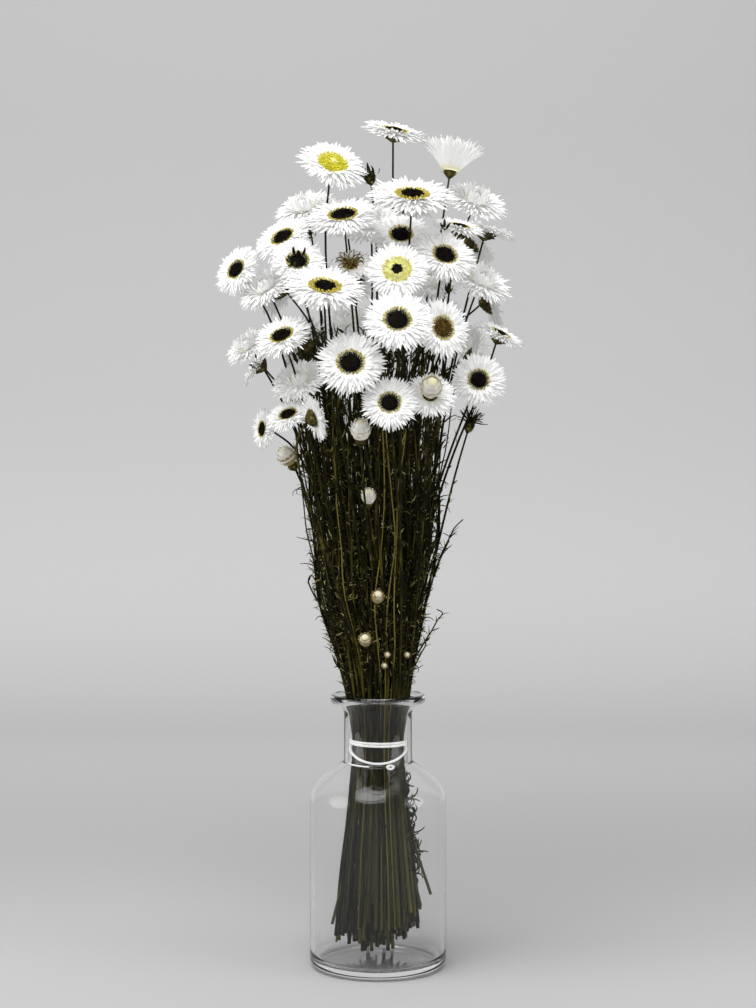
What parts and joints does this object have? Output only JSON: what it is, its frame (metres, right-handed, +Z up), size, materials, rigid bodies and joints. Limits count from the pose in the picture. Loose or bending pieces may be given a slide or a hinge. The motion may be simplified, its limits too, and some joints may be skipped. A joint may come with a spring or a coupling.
{
  "type": "vase of dried everlasting daisies",
  "caption": "Tied bunch of dried white everlasting daisies with dark discs, standing in a clear glass bottle vase.",
  "frame": {"origin": "middle of the bottle's flat base, where it rests", "axes": "+Z up along the bottle's axis, -Y towards the side that faces forward, +X to its right"},
  "size_m": [0.1694, 0.1856, 0.4738],
  "materials": {
    "glass": "clear, smooth, slightly grey",
    "stem": "dry, matt, dark olive brown",
    "petal": "papery white, soft sheen",
    "bud": "papery cream white",
    "string": "white cotton string"
  },
  "bodies": {
    "root": {"bottle": "glass", "stems": "stem", "tie_string": "string", "bloom_petals_01": "petal", "bloom_petals_02": "petal", "bloom_petals_03": "petal", "bloom_petals_04": "petal", "bloom_petals_05": "petal", "bloom_petals_06": "petal", "bloom_petals_07": "petal", "bloom_petals_08": "petal", "bloom_petals_09": "petal", "bloom_petals_10": "petal", "bloom_petals_11": "petal", "bloom_petals_12": "petal", "bloom_petals_13": "petal", "bloom_petals_14": "petal", "bloom_petals_15": "petal", "bloom_petals_16": "petal", "bloom_petals_17": "petal", "bloom_petals_18": "petal", "bloom_petals_19": "petal", "bloom_petals_20": "petal", "bloom_petals_21": "petal", "bloom_petals_22": "petal", "bloom_petals_23": "petal", "bloom_petals_24": "petal", "bloom_petals_25": "petal", "bloom_petals_26": "petal", "bloom_petals_27": "petal", "bloom_petals_28": "petal", "bloom_petals_29": "petal", "bloom_petals_30": "petal", "bloom_petals_31": "petal", "bloom_petals_32": "petal", "bloom_petals_33": "petal", "bloom_petals_34": "petal", "bloom_petals_35": "petal", "bloom_petals_36": "petal", "bloom_petals_37": "petal", "bloom_petals_38": "petal", "bloom_petals_39": "petal", "bloom_petals_40": "petal", "bloom_petals_41": "petal", "bloom_petals_42": "petal", "bloom_petals_43": "petal", "bloom_petals_44": "petal", "bloom_petals_45": "petal", "bloom_petals_46": "petal", "bloom_petals_47": "petal", "bloom_petals_48": "petal", "bloom_petals_49": "petal", "bud_1": "bud", "bud_2": "bud", "bud_3": "bud", "bud_4": "bud", "bud_5": "bud", "bud_6": "bud"}
  },
  "joints": []
}
